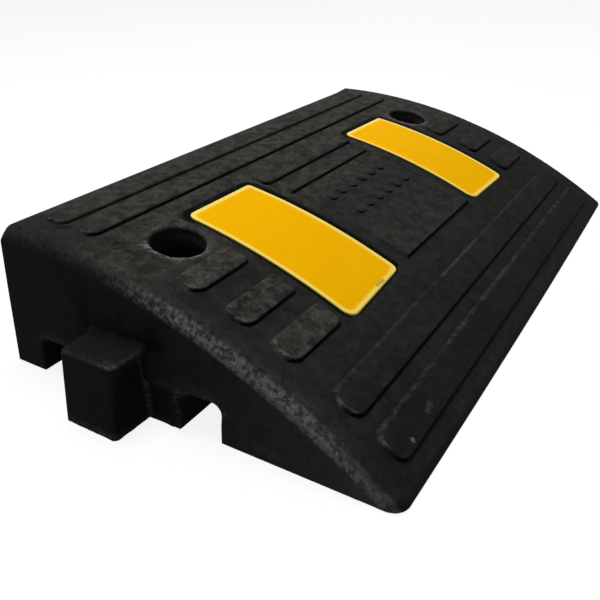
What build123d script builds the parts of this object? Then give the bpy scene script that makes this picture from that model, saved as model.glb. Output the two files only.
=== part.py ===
from build123d import *
import math
import os

# Rubber kerb ramp: one moulded block that lets a wheel climb a kerb, with two yellow
# reflective sheets laid in shallow pockets, two wells for anchor bolts, and a tongue and
# a socket that join it to the next block in the row.
# Millimetres. +X runs along the kerb, +Y points at the kerb and +Z is up. The origin is on
# the road, midway between the two anchor holes.

# Overall block, without the tongue
length = 500.0  # along the kerb, at the foot
depth = 300.0  # from the kerb face to the toe
height = 100.0  # at the kerb face
toe_lip = 4.5  # upright edge at the toe
end_draft = 5.6  # degrees by which both ends lean in
toe_corner = 10.0  # plan radius of the corners at the toe
edge_round = 7.0  # rounding all along the top edge

# Line of the anchors, the tongue and the socket, measured from the kerb face
fixing_line = 106.0

# Raised bars on the slope: full-length ribs, a short rib and three pads at each end
bar_rise = 2.5
bar_width = 19.0
bar_round = 1.0  # rounding of a bar's top edge
tip_flat = 1.0  # straight part of a bar's rounded tip
bar_margin = 21.5  # from the end of the block to a bar's tip, at the same height
crest_rib_fronts = (37.5, 65.0)  # from the kerb face
short_rib_front = 100.0  # from the kerb face
short_rib_gap = 10.0  # from the short rib to the reflector beside it
pad_fronts = (151.5, 187.5, 220.0)  # from the kerb face
foot_rib_fronts = (39.0, 10.5)  # from the toe
pad_corner = 5.0  # plan radius of a pad's square end
pad_gap = 12.5  # from a pad to the reflector beside it

# Reflectors
panel_inset = 95.5  # from the foot of the block's end to the sheet
panel_width = 75.0
panel_back = 89.0  # from the kerb face
panel_run = 131.5  # down the slope, in plan
panel_corner = 6.0
panel_clearance = 1.0  # between the sheet and its pocket's wall
sheet_thickness = 1.5
adhesive_thickness = 1.0
sheet_proud = 0.5  # how far the sheet stands above the rubber round it

# Plain field between the reflectors, tipped forwards against the slope, with grip studs
field_gap = 14.5  # from a sheet's side to the field
field_back = 118.5  # from the kerb face
field_front = 218.0
field_sink = 2.0  # below the slope at the field's back edge
field_rise = 2.5  # above the slope at the field's front edge
stud_radius = 4.5
stud_rise = 1.5
stud_pitch = 17.0
stud_columns = 6
stud_rows = (142.0, 166.0)  # from the kerb face

# Anchor holes
well_inset = 66.0  # from the foot of the block's end
well_radius = 18.5
well_seat = 35.0  # rubber under the bolt head, above the road
well_round = 2.0  # rounding of the well's mouth
bolt_radius = 8.0

# Two channels along the underside, one on each side of the fixing line
channel_offset = 62.75
channel_width = 29.5
channel_height = 24.5
channel_round = 7.0

# Tongue, and the land that it grows from
tongue_length = 31.0
tongue_width = 44.5  # at the nose
tongue_height = 49.5
tongue_lead = 7.0  # how far the nose leans back at the top
tongue_taper = 1.2  # how much wider each side is at the end of the block
tongue_round = 4.0
tongue_root = 20.0  # how far the tongue reaches into the block
land_proud = 2.4
land_height = 27.5
joint_clearance = 1.0  # between a tongue and the next block's socket

# The slope is an arc, level at the kerb face and ending at the toe lip
slope_drop = height - toe_lip
slope_radius = (depth**2 + slope_drop**2) / (2 * slope_drop)
slope_axis_z = height - slope_radius
draft_ratio = math.tan(math.radians(end_draft))
half_length = length / 2
clear_of_block = height + depth  # longer than any cut has to be
pocket_depth = adhesive_thickness + sheet_thickness - sheet_proud
panel_x = half_length - panel_inset - panel_width / 2
panel_line = panel_back + panel_run / 2
field_x = half_length - panel_inset - panel_width - field_gap
well_x = half_length - well_inset


def at(from_kerb):
    """Y of a line at a distance from the kerb face."""
    return fixing_line - from_kerb


def slope_height(from_kerb, rise=0.0):
    """Height of the slope, or of a surface that lies a rise above it."""
    return slope_axis_z + math.sqrt((slope_radius + rise) ** 2 - from_kerb**2)


def wedge(rise=0.0):
    """The block's section carried along X, with its top moved out by a rise."""
    crest, middle, lip = [
        (at(from_kerb), slope_height(from_kerb, rise)) for from_kerb in (0, depth / 2, depth)
    ]
    slope = ThreePointArc(crest, middle, lip)
    foot_and_back = Polyline(lip, (at(depth), 0), (at(0), 0), crest)
    section = make_face(slope + foot_and_back)
    return extrude(Plane.YZ * section, amount=half_length, both=True)


def pillar(outline):
    """A plan outline on the road carried straight up past the top of the block."""
    return extrude(outline, amount=clear_of_block)


def plan_box(x_low, x_high, from_kerb_low, from_kerb_high):
    """A plan rectangle between two X values and two distances from the kerb."""
    size_x = x_high - x_low
    size_y = from_kerb_high - from_kerb_low
    middle = at((from_kerb_low + from_kerb_high) / 2)
    return Pos((x_low + x_high) / 2, middle) * Rectangle(size_x, size_y)


def block():
    """The bare wedge with leaning ends that mirror each other, and rounded top edges."""
    lean = height * draft_ratio
    ends = Polyline(
        (-half_length, 0),
        (half_length, 0),
        (half_length - lean, height),
        (lean - half_length, height),
        close=True,
    )
    between_ends = extrude(Plane.XZ * make_face(ends), amount=clear_of_block, both=True)
    solid = wedge() & between_ends
    upright = solid.edges().filter_by(lambda edge: abs((edge % 0.5).Z) > 0.9)
    solid = fillet(upright.group_by(Axis.Y)[0], toe_corner)
    slope_face = solid.faces().sort_by(Axis.Z)[-1]
    rounded = fillet(slope_face.edges(), edge_round)
    socket_half = split(rounded, Plane.YZ, keep=Keep.TOP)
    return socket_half + mirror(socket_half, Plane.YZ)


def bar(x_low, x_high, front, round_low, round_high):
    """A raised bar on the slope, with its own plan radius at each end."""
    outline = plan_box(x_low, x_high, front - bar_width, front)
    by_end = outline.vertices().group_by(Axis.X)
    outline = fillet(by_end[0], round_low)
    by_end = outline.vertices().group_by(Axis.X)
    outline = fillet(by_end[-1], round_high)
    solid = pillar(outline) & wedge(bar_rise)
    top = solid.faces().sort_by(Axis.Z)[-1]
    return fillet(top.edges(), bar_round)


def bars():
    """All raised bars: ribs from end to end, the short rib and the pads."""
    tip = (bar_width - tip_flat) / 2
    made = []
    foot_fronts = [depth - from_toe for from_toe in foot_rib_fronts]
    for front in (*crest_rib_fronts, *foot_fronts):
        reach = half_length - bar_margin - slope_height(front) * draft_ratio
        made.append(bar(-reach, reach, front, tip, tip))
    short_reach = half_length - panel_inset - panel_width - short_rib_gap
    made.append(bar(-short_reach, short_reach, short_rib_front, pad_corner, pad_corner))
    inner = half_length - panel_inset + pad_gap
    for front in pad_fronts:
        outer = half_length - bar_margin - slope_height(front) * draft_ratio
        made.append(bar(-outer, -inner, front, tip, pad_corner))
        made.append(bar(inner, outer, front, pad_corner, tip))
    return made


def field():
    """The plan area of the field, and the rubber that fills it up to its tipped face."""
    area = pillar(plan_box(-field_x, field_x, field_back, field_front))
    run = field_front - field_back
    tip_angle = math.degrees(math.atan2(field_sink + field_rise, run))
    level_line = field_back + run * field_sink / (field_sink + field_rise)
    hinge = Pos(0, at(level_line), slope_height(level_line))
    tip = hinge * Rot(X=-tip_angle) * hinge.inverse()
    under = wedge(-field_sink - field_rise)
    filling = area & (tip * wedge() + under)
    stud_tops = tip * wedge(stud_rise)
    for row in stud_rows:
        for column in range(stud_columns):
            x = (column - (stud_columns - 1) / 2) * stud_pitch
            stud = pillar(Pos(x, at(row)) * Circle(stud_radius)) & stud_tops
            filling += stud
    return area, filling


def panel_plan(x, grow):
    """Plan of a reflector, or of its pocket, at one end of the block."""
    outline = RectangleRounded(
        panel_width + 2 * grow, panel_run + 2 * grow, panel_corner + grow
    )
    return pillar(Pos(x, at(panel_line)) * outline)


def layer(x, bottom, top):
    """A sheet of a reflector between two levels, counted from the slope."""
    return (panel_plan(x, 0) & wedge(top)) - wedge(bottom)


def tongue(grow):
    """The tongue at the -X end, wider towards the block, or the same space made larger."""
    root = tongue_root - half_length
    nose = -half_length - tongue_length

    def level(front, z):
        """Plan of the tongue at a height, from its front to its root."""
        corners = []
        for x in (front, root):
            half_width = tongue_width / 2 + grow + tongue_taper * (x - nose) / tongue_length
            corners += [(x, half_width), (x, -half_width)]
        outline = Polyline(corners[0], corners[1], corners[3], corners[2], close=True)
        return Pos(0, 0, z) * make_face(outline)

    foot_face = level(nose - grow, 0)
    top_face = level(nose - grow + tongue_lead, tongue_height + grow)
    solid = loft([foot_face, top_face], ruled=True)
    off_root = solid.edges().filter_by(lambda edge: edge.center().X < root - tongue_round)
    nose_and_top = off_root.filter_by(lambda edge: edge.center().Z > tongue_round)
    return fillet(nose_and_top, tongue_round)


def land(grow):
    """The flat land round the tongue's root, as wide as the strip between the channels."""
    half_width = channel_offset - channel_width / 2 + grow
    depth_x = land_proud + grow + tongue_root
    outline = Rectangle(depth_x, 2 * half_width, align=(Align.MIN, Align.CENTER))
    foot = Pos(-half_length - land_proud - grow, 0) * outline
    return extrude(foot, amount=land_height + grow)


def channel(side):
    """One underside channel, open at both ends and along the road."""
    section = Pos(side * channel_offset, channel_height / 2) * Rectangle(channel_width, channel_height)
    section = fillet(section.vertices().group_by(Axis.Y)[-1], channel_round)
    return extrude(Plane.YZ * section, amount=clear_of_block, both=True)


def ramp_body():
    """The moulded rubber block with everything that is one piece with it."""
    solid = block()
    for raised in bars():
        solid += raised
    area, filling = field()
    solid = (solid - area) + filling
    solid += tongue(0)
    solid += land(0)
    for x in (-panel_x, panel_x):
        solid -= panel_plan(x, panel_clearance) - wedge(-pocket_depth)
    wells = [
        Pos(x, 0, well_seat) * extrude(Circle(well_radius), amount=clear_of_block)
        for x in (-well_x, well_x)
    ]
    drilled = solid - wells
    mouths = new_edges(solid, *wells, combined=drilled)
    solid = fillet(mouths, well_round)
    for x in (-well_x, well_x):
        solid -= pillar(Pos(x, 0) * Circle(bolt_radius))
    for side in (-1, 1):
        solid -= channel(side)
    solid -= Pos(length, 0, 0) * tongue(joint_clearance)
    solid -= Pos(length, 0, 0) * land(joint_clearance)
    return solid


nodes = {"ramp_body": ramp_body()}
for end, x in (("tongue_end", -panel_x), ("socket_end", panel_x)):
    bed_top = adhesive_thickness - pocket_depth
    nodes[f"{end}_adhesive"] = layer(x, -pocket_depth, bed_top)
    nodes[f"{end}_sheet"] = layer(x, bed_top, sheet_proud)

os.makedirs("parts", exist_ok=True)
for name, shape in nodes.items():
    export_step(shape, f"parts/{name}.step")
    print(name, round(shape.volume), shape.bounding_box().size)
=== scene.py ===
"""Looks of a rubber kerb ramp, made round its packed solids.

Laid out as an add-on. Each operator makes one piece or group of pieces, and the panel in the
3D view's sidebar lists them above the sizes and colours that they read. Lengths are metres.
+X runs along the kerb, +Y points at the kerb and +Z is up.
"""

import math

import bpy
import numpy as np
from mathutils import Matrix, Vector


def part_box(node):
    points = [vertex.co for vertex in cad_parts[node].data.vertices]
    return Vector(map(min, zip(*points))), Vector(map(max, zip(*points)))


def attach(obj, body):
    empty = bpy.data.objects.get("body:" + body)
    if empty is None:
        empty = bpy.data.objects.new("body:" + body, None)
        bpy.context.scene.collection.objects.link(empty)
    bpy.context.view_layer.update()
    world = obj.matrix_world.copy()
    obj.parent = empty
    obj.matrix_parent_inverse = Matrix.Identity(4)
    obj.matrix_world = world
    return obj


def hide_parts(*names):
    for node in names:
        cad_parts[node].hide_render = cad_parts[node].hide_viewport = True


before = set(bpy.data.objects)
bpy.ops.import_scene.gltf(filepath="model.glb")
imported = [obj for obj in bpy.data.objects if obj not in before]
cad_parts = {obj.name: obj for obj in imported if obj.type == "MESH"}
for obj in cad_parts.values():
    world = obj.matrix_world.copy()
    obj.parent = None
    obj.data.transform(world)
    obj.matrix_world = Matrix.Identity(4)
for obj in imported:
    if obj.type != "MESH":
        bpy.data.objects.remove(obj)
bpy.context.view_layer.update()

bl_info = {
    "name": "Rubber kerb ramp",
    "version": (1, 0, 0),
    "blender": (4, 5, 0),
    "location": "3D View > Sidebar > Kerb ramp",
    "description": "Makes the moulded block, its reflectors and the studio round them",
    "category": "Object",
}

MM = 0.001
TINY = 1e-9  # counts as nought
IN_LINE = 1e-4 * MM  # a point may lie this far off the line between its neighbours
IN_STEP = 2e-3  # and its marks this far off theirs
FLATTEST = 0.05  # the least squared slope of a distance that a step divides by
SHARP = math.radians(50)  # edges that turn by more than this are drawn sharp
BODY = "root"
BLOCK_NODE = "ramp_body"
SHEET_NODES = ("tongue_end_sheet", "socket_end_sheet")
ADHESIVE_NODES = ("tongue_end_adhesive", "socket_end_adhesive")
block_low, block_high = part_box(BLOCK_NODE)
sheet_low, sheet_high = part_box(SHEET_NODES[1])


def size(name, millimetres, description):
    """A length that the panel shows, or a row of lengths, given here in millimetres."""
    shown = {"name": name, "description": description, "unit": "LENGTH", "precision": 4}
    if not isinstance(millimetres, tuple):
        return bpy.props.FloatProperty(default=millimetres * MM, **shown)
    row = [value * MM for value in millimetres]
    return bpy.props.FloatVectorProperty(default=row, size=len(row), **shown)


def colour(name, value, description):
    """A colour that the panel shows."""
    return bpy.props.FloatVectorProperty(
        name=name, description=description, default=value, size=3, min=0, max=1, subtype="COLOR"
    )


def share(name, value, description):
    """A number from 0 to 1 that the panel shows."""
    return bpy.props.FloatProperty(
        name=name, description=description, default=value, min=0, max=1, subtype="FACTOR"
    )


class BlockSizes(bpy.types.PropertyGroup):
    """The bare block, its anchor holes and its underside."""

    height: size("Height", 100, "Height at the kerb face")
    toe_lip: size("Toe lip", 4.5, "Upright edge at the toe")
    end_draft: bpy.props.FloatProperty(
        name="End draft",
        description="How far both ends lean in",
        default=math.radians(5.6),
        subtype="ANGLE",
    )
    toe_corners: size("Toe corners", (10, 1), "Plan radii at the toe: tongue end, socket end")
    kerb_corner: size("Kerb corner", 0.4, "Radius of the upright corners at the kerb")
    crest_corner: size("Crest corner", 8.8, "The same radius at the top of the tongue end's corner")
    edge_rounds: size("Top edge", (7, 2.5), "Rounding of the top edge, and of its socket end")
    toe_edge: size("Toe edge", 3.5, "Rounding of the top edge along the toe")
    toe_bow: size("Toe bow", 1.5, "How far the toe swells out in the middle")
    foot_round: size("Foot edge", 0.5, "Rounding of the edge on the road")
    well_inset: size("Well inset", 66, "From the foot of the end to an anchor hole")
    well_radius: size("Well radius", 18.5, "Radius of the well for the bolt head")
    well_seat: size("Well seat", 35, "Rubber under the bolt head")
    well_mouth: size("Well mouth", 2, "Rounding of the well's mouth")
    bolt_radius: size("Bolt hole radius", 8, "Radius of the hole for the bolt")
    channel_offset: size("Channel offset", 62.75, "From the line of the anchors to a channel")
    channel_width: size("Channel width", 29.5, "Width of an underside channel")
    channel_height: size("Channel height", 24.5, "Height of an underside channel")
    channel_round: size("Channel corner", 7, "Radius of a channel's upper corners")
    mouth_round: size("Mouth edge", 0.6, "Rounding of the upright edges of openings in the ends")
    mouth_crown: size("Mouth crown", 3, "Rounding of the edge over a channel's mouth")


class GripSizes(bpy.types.PropertyGroup):
    """Raised bars and the studded field on the slope, with places measured from the kerb."""

    rise: size("Rise", 2.5, "How far a bar stands up")
    wall: size("Wall", 0.8, "Width of a bar's steep wall")
    crown: size("Crown", 0.9, "Width of the rounding above a bar's wall")
    width: size("Width", 19, "Width of a bar")
    tip: size("Tip", 9, "Plan radius of a bar's round tip")
    corner: size("Corner", 5, "Plan radius of a bar's square end")
    margin: size("Margin", 21.5, "From the end of the block to a bar's tip")
    rib_fronts: size("Rib fronts", (37.5, 65, 261, 289.5), "Front edges of the long ribs")
    short_front: size("Short rib front", 100, "Front edge of the short rib")
    short_gap: size("Short rib gap", 10, "From the short rib to a reflector")
    pad_fronts: size("Pad fronts", (151.5, 187.5, 220), "Front edges of the pads")
    pad_gap: size("Pad gap", 12.5, "From a pad to the reflector beside it")
    field_gap: size("Field gap", 14.5, "From a reflector to the field")
    field_ends: size("Field ends", (118.5, 218), "Back and front edge of the field")
    field_tip: size("Field tip", (-2, 2.5), "Level of the field's back and front edge")
    stud_radius: size("Stud radius", 4.5, "Radius of a grip stud")
    stud_rise: size("Stud rise", 1.5, "How far a grip stud stands up")
    stud_pitch: size("Stud pitch", 17, "Distance between studs in a row")
    stud_rows: size("Stud rows", (142, 166), "Places of the rows of studs")
    stud_columns: bpy.props.IntProperty(
        name="Stud columns", description="Studs in a row", default=6, min=1
    )


class JoinSizes(bpy.types.PropertyGroup):
    """Tongue, land and socket that join a row of blocks."""

    tongue_width: size("Tongue width", 44.5, "Width at the nose")
    tongue_height: size("Tongue height", 49.5, "Height of the tongue")
    tongue_lead: size("Tongue lead", 7, "How far the nose leans back at the top")
    tongue_taper: size("Tongue taper", 1.2, "How much wider each side is at the block")
    tongue_round: size("Tongue rounding", 4, "Rounding of the nose and the top")
    root_round: size("Root fillet", 5, "Fillet where the tongue meets the end")
    land_proud: size("Land", 2.4, "How far the land stands out of the end")
    land_height: size("Land height", 27.5, "Height of the land")
    clearance: size("Clearance", 1, "Room round a tongue in the next block's socket")


class ReflectorSizes(bpy.types.PropertyGroup):
    """Reflective sheets and their pockets."""

    corners: size("Corners", (7, 2.5, 8.5, 4.5), "Plan radii: kerb side at -X, +X, then toe side")
    tongue_end_laid: size(
        "Laid at the tongue end",
        (1.4, -0.85, -0.3, -0.25, -4.2, 2.15, -3.7, -1.45),
        "Offsets of each corner along X and towards the toe, in the same order",
    )
    socket_end_laid: size(
        "Laid at the socket end",
        (0.7, -2.25, -2.8, -1.05, -2.1, -1.35, -3.2, 0.25),
        "Offsets of each corner along X and towards the toe, in the same order",
    )
    clearance: size("Clearance", 1, "From a sheet to the wall of its pocket")
    pocket: size("Pocket", 2, "Depth of the pocket")
    thickness: size("Thickness", 1.5, "Thickness of a sheet")
    proud: size("Proud", 0.5, "How far a sheet stands above the rubber")
    edge: size("Edge", 0.5, "Rounding of a sheet's upper edge")
    rim: size("Rim", 3, "Width of the pale sealed rim")


class Colours(bpy.types.PropertyGroup):
    """Colours of the materials, and how strongly they are worn."""

    rubber: colour("Rubber", (0.0150, 0.0153, 0.0139), "Clean moulded rubber")
    dusty: colour("Dusty rubber", (0.060, 0.0572, 0.0515), "Rubber with dust ground into it")
    crumb: colour("Bare crumb", (0.19, 0.186, 0.176), "Torn crumb on a worn edge")
    yellow: colour("Yellow", (0.92, 0.455, 0.0006), "Reflective sheet")
    rim: colour("Rim", (0.97, 0.77, 0.17), "Sealed rim of a sheet")
    adhesive: colour("Adhesive", (0.05, 0.045, 0.035), "Bed under a sheet")
    floor: colour("Floor", (0.15, 0.15, 0.15), "Floor as the object sees it")
    wear: share("Wear", 0.8, "How strongly the edges are worn")


def grid_lines(fixed, wished, widest, least):
    """Sorted grid lines: all fixed lines, the wished ones that keep the least distance from
    what is there already, and even steps in every gap that is wider than the widest."""
    kept = sorted(set(np.round(fixed, 7)))
    low, high = kept[0], kept[-1]
    for line in sorted(wished):
        if low < line < high and np.abs(np.array(kept) - line).min() >= least:
            kept.append(line)
    kept = np.sort(kept)
    gaps = np.diff(kept)
    steps = np.maximum(1, np.ceil(gaps / widest - 1e-6)).astype(int)
    first = np.repeat(np.cumsum(steps) - steps, steps)
    within = (np.arange(steps.sum()) - first) * np.repeat(gaps / steps, steps)
    return np.append(np.repeat(kept[:-1], steps) + within, kept[-1])


def mm(*lengths):
    """Lengths that are given in millimetres."""
    return np.array(lengths) * MM


def mirrored(*lengths):
    """Offsets to both sides of nought, and nought itself, given in millimetres."""
    return np.concatenate((-mm(*lengths), [0.0], mm(*lengths)))


def around(places, offsets):
    """Every place with every offset added to it, as one flat list."""
    return np.add.outer(np.atleast_1d(places), np.asarray(offsets)).ravel()


def shell_of(filled):
    """Corner numbers of each face between a filled cell and an empty one, turned outwards.
    A corner's number counts through the grid of lines, the last axis fastest."""
    lines = np.array(filled.shape) + 1
    cells = np.pad(filled, 1).astype(np.int8)
    quads = []
    for axis in range(3):
        order = (axis, (axis + 1) % 3, (axis + 2) % 3)
        change = np.diff(np.transpose(cells, order), axis=0)[:, 1:-1, 1:-1]
        for step, corners in ((-1, (0, 1, 3, 2)), (1, (0, 2, 3, 1))):
            plane, row, column = np.nonzero(change == step)
            quad = []
            for corner in corners:
                place = [None] * 3
                places = (plane, row + corner % 2, column + corner // 2)
                for along, value in zip(order, places):
                    place[along] = value
                quad.append(np.ravel_multi_index(place, lines))
            quads.append(np.stack(quad, axis=1))
    return np.concatenate(quads)


def both(a, b, radius):
    """Signed distance to what lies inside a and inside b, with their shared edge rounded."""
    corner = np.hypot(np.maximum(a + radius, 0), np.maximum(b + radius, 0))
    return np.minimum(np.maximum(a, b), -radius) + corner


def either(a, b, radius):
    """Signed distance to what lies inside a or b, with a hollow fillet between them."""
    return -both(-a, -b, radius)


def rectangle(x, y, half_x, half_y, corner):
    """Signed distance to a rectangle with rounded corners, negative inside."""
    out_x = np.abs(x) - half_x + corner
    out_y = np.abs(y) - half_y + corner
    outside = np.hypot(np.maximum(out_x, 0), np.maximum(out_y, 0))
    return outside + np.minimum(np.maximum(out_x, out_y), 0) - corner


def step_in(distance, wall):
    """1 inside an outline and 0 outside, easing over the width of a wall that it halves."""
    return ease(-distance, -wall / 2, wall / 2)


def crowned(distance, wall, crown):
    """1 inside an outline and 0 outside: a steep wall for two thirds of the height, and a
    quarter round of the crown's width above it."""
    t = np.clip((-wall / 2 - distance) / crown, 0, 1)
    return step_in(distance, wall) * 2 / 3 + np.sqrt(1 - (1 - t) ** 2) / 3


def rounded(u, v, half_u, half_v, corner, spare, fade):
    """Shifts that bend the square corners of grid lines round a rectangle into arcs. Squares about
    an arc's centre turn into circles, as far as a spare width beyond the corner's radius, and back
    into squares over the fade beyond that."""
    off_u = np.maximum(np.abs(u) - half_u + corner, 0)
    off_v = np.maximum(np.abs(v) - half_v + corner, 0)
    ring = np.maximum(off_u, off_v)
    bent = np.clip((corner + spare + fade - ring) / fade, 0, 1) * (np.minimum(off_u, off_v) > 0)
    pull = bent * (ring / np.maximum(np.hypot(off_u, off_v), TINY) - 1)
    return np.sign(u) * off_u * pull, np.sign(v) * off_v * pull


def ease(value, low, high):
    """0 below low and 1 above high, easing between them."""
    t = np.clip((value - low) / (high - low), 0, 1)
    return t * t * (3 - 2 * t)


def band(value, low, full, fade, high):
    """1 between full and fade, easing to 0 at low and at high."""
    return ease(value, low, full) * (1 - ease(value, fade, high))


def foot_shadow_line(distance, width):
    """1 on an outline, fading outside it over a width, and 0 a little way inside it."""
    return np.exp(-((np.maximum(distance, 0) / width) ** 2)) * (distance > -0.4 * MM)


def most(*levels):
    """The highest of several levels at each point."""
    return np.maximum.reduce(levels)


def level_at(from_kerb, stops):
    """Level at a distance from the kerb, drawn straight between stops."""
    return np.interp(from_kerb / MM, *zip(*stops))


def ripple(points, wavelengths, count, seed):
    """Smooth random field of about unit size: many cosines in random directions, with
    wavelengths spread evenly between two limits, added up."""
    chance = np.random.default_rng(seed)
    heading = chance.normal(size=(count, 3))
    heading /= np.linalg.norm(heading, axis=1)[:, None]
    waves = heading * (2 * math.pi / chance.uniform(*wavelengths, size=count))[:, None]
    phase = chance.uniform(0, 2 * math.pi, size=count)
    return np.cos(points @ waves.T + phase).sum(axis=1) * math.sqrt(2 / count)


def gradient(distance, points):
    """Slope of a distance function at the points, by central differences."""
    reach = 0.02 * MM
    columns = []
    for axis in range(3):
        offset = np.zeros(3)
        offset[axis] = reach
        columns.append((distance(points + offset) - distance(points - offset)) / (2 * reach))
    return np.stack(columns, axis=1)


def settle(distance, points, rounds=5, furthest=3 * MM):
    """Moves the points on to the surface where the distance is nought, by Newton's steps along
    its slope, and returns them with their outward directions."""
    points = points.copy()
    for _ in range(rounds):
        off = distance(points)
        stray = np.flatnonzero(np.abs(off) > TINY)
        slope = gradient(distance, points[stray])
        move = off[stray] / np.maximum((slope**2).sum(axis=1), FLATTEST)
        points[stray] -= np.clip(move, -furthest, furthest)[:, None] * slope
    slope = gradient(distance, points)
    return points, slope / np.maximum(np.linalg.norm(slope, axis=1), TINY)[:, None]


def join_runs(points, marks, quads, grid, axis):
    """Joins quads in runs along an axis, given for each of them, where the points and marks on
    both sides of a run are in line, and leaves out the points that no face then needs. Takes the
    points' grid numbers, and gives the point numbers of all faces in a row and each face's
    count."""
    along = axis[:, None] == np.arange(3)
    run = (grid[quads] * along[:, None, :]).sum(axis=2)
    turned = (run[:, 0] == run[:, 1])[:, None]
    quads = np.where(turned, np.roll(quads, -1, axis=1), quads)
    run = (grid[quads[:, 0]] * along).sum(axis=1)
    strip = np.column_stack((axis, grid[quads[:, 0]] * ~along, grid[quads[:, 3]] * ~along))
    order = np.lexsort((run, *strip.T))
    quads, run, strip = quads[order], run[order], strip[order]

    def in_line(before, here, after):
        """Whether points lie on the lines between their neighbours, and marks as well."""
        back, whole = points[here] - points[before], points[after] - points[before]
        part = (np.linalg.norm(back, axis=1) / np.linalg.norm(whole, axis=1))[:, None]
        aim = points[before] + whole * part
        level = marks[before] + (marks[after] - marks[before]) * part
        close = np.abs(points[here] - aim).max(axis=1) < IN_LINE
        return close & (np.abs(marks[here] - level).max(axis=1) < IN_STEP)

    here, there = quads[:-1], quads[1:]
    joined = (strip[:-1] == strip[1:]).all(axis=1) & (run[1:] == run[:-1] + 1)
    joined &= in_line(here[:, 0], here[:, 1], there[:, 1])
    joined &= in_line(here[:, 3], here[:, 2], there[:, 2])
    inside = np.concatenate((here[joined, 1], here[joined, 2]))
    count = np.bincount(quads.ravel(), minlength=len(points))
    needed = 2 * np.bincount(inside, minlength=len(points)) < count
    last = np.append(~joined, True)
    face = np.cumsum(last) - last
    place = np.arange(len(quads))
    far = 2 * len(quads)
    rows = (
        (face, place, quads[:, 0]),
        (face[last], place[last] + 1, quads[last, 1]),
        (face[last], far - place[last] - 1, quads[last, 2]),
        (face, far - place, quads[:, 3]),
    )
    face, place, corner = (np.concatenate(column) for column in zip(*rows))
    order = np.lexsort((place, face))
    order = order[needed[corner[order]]]
    return corner[order], np.bincount(face[order])


def new_piece(name, points, faces, marks, slot, material, replaced):
    """A mesh object from points and faces, with named values on its points, smooth faces and
    sharp edges. Faces are all their point numbers in a row and their counts."""
    corners, counts = faces
    used, corners = np.unique(corners, return_inverse=True)
    mesh = bpy.data.meshes.new(name)
    mesh.vertices.add(len(used))
    mesh.vertices.foreach_set("co", points[used].astype(np.float32).ravel())
    mesh.loops.add(len(corners))
    mesh.loops.foreach_set("vertex_index", corners.ravel().astype(np.int32))
    mesh.polygons.add(len(counts))
    mesh.polygons.foreach_set("loop_start", (np.cumsum(counts) - counts).astype(np.int32))
    mesh.update(calc_edges=True)
    for mark, values in marks.items():
        layer = mesh.attributes.new(mark, "FLOAT", "POINT")
        layer.data.foreach_set("value", values[used].astype(np.float32))
    mesh.polygons.foreach_set("use_smooth", np.ones(len(mesh.polygons), bool))
    mesh.set_sharp_from_angle(angle=SHARP)
    mesh.validate()
    piece = bpy.data.objects.new(name, mesh)
    bpy.context.scene.collection.objects.link(piece)
    mesh.materials.append(material)
    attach(piece, BODY)
    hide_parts(replaced)


class Slope:
    """The slope's arc: level at the kerb face, and down to the toe lip at the toe."""

    def __init__(self, block):
        self.kerb = block_high.y
        self.depth = block_high.y - block_low.y
        drop = block.height - block.toe_lip
        self.radius = (self.depth**2 + drop**2) / (2 * drop)
        self.axis_z = block.height - self.radius

    def from_kerb(self, y):
        """Distance of a place from the kerb face."""
        return self.kerb - y

    def height(self, from_kerb, rise=0.0):
        """Height of the slope, or of a surface that lies a rise above it."""
        return self.axis_z + np.sqrt((self.radius + rise) ** 2 - from_kerb**2)

    def above(self, y, z):
        """Distance of a point above the slope."""
        return np.hypot(self.from_kerb(y), z - self.axis_z) - self.radius

    def outward(self, y, z):
        """Direction straight out of the slope, as Y and Z shares."""
        reach = np.hypot(self.from_kerb(y), z - self.axis_z)
        return -self.from_kerb(y) / reach, (z - self.axis_z) / reach


# Levels on the block: each stop is a distance from the kerb face in millimetres, and a level
SLOPE_DUST = (
    (0, 0.8), (60, 0.9), (85, 0.88), (100, 0.76), (125, 0.68), (140, 0.38), (150, 0.2),
    (235, 0.16), (262, 0.17), (272, 0.05), (290, 0.04), (297, 0.2),
)
CLEAN_CORNER = ((60, 1), (95, 0.05), (115, 0.1), (130, 0.6), (150, 0.2))
# the ends are drawn lighter towards the toe through the dust mark
END_LIGHTENING = ((110, 0.13), (140, 0.24), (184, 0.5), (218, 1.02), (251, 1.25), (284, 1.9))
END_SCRAPE = (
    (90, 0.1), (120, 0.6), (155, 1.1), (182, 1.6), (206, 2.4),
    (230, 2.4), (252, 1.9), (275, 1.2), (300, 0.5),
)
RIM_WEAR = (
    (100, 0.06), (150, 0.8), (165, 0.88), (185, 0.74), (205, 0.72),
    (225, 0.88), (240, 1), (262, 0.44), (280, 0.08), (300, 0.06),
)
RIM_SCRAPE = ((215, 0), (250, 0.06), (265, 0.1), (285, 0.24))
BAR_SHADE = ((37.5, 0.55), (65, 0.85), (100, 1), (261, 0.95), (289.5, 0.6))
# brightness of the painted highlight on the bars' upper edges
BAR_EDGE_HIGHLIGHT = ((225, 0.06), (245, 0.14), (262, 0.14), (272, 0.28))
SOCKET_END_SHARE = 0.6  # wear of the socket end, as a share of the tongue end's
PAD_DUST = (0.95, 0.2)  # at the tongue end and at the socket end

ROOT_DEPTH = 20 * MM  # how far the tongue and the land reach into the block
LAND_FILLET = 1 * MM
BOLT_EDGE = 0.6 * MM  # rounding of the bolt holes' edges
BACK_EDGE = 0.15 * MM  # rounding of a sheet's lower edge, and of its bed's edges
LAID_REACH = 1.2  # how far a sheet's skew carries on past it, as a share of its half size
CRUMB_HEIGHT = 0.2 * MM  # of torn rubber on a fully worn edge
SHEET_WAVES = 0.05 * MM  # height of the waves in a sheet
END_SLACK = 0.5 * MM  # what lies further out than this is on the tongue or the land
LEAN_FROM = 212 * MM  # the grid starts to lean in with the ends at this distance


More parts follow.
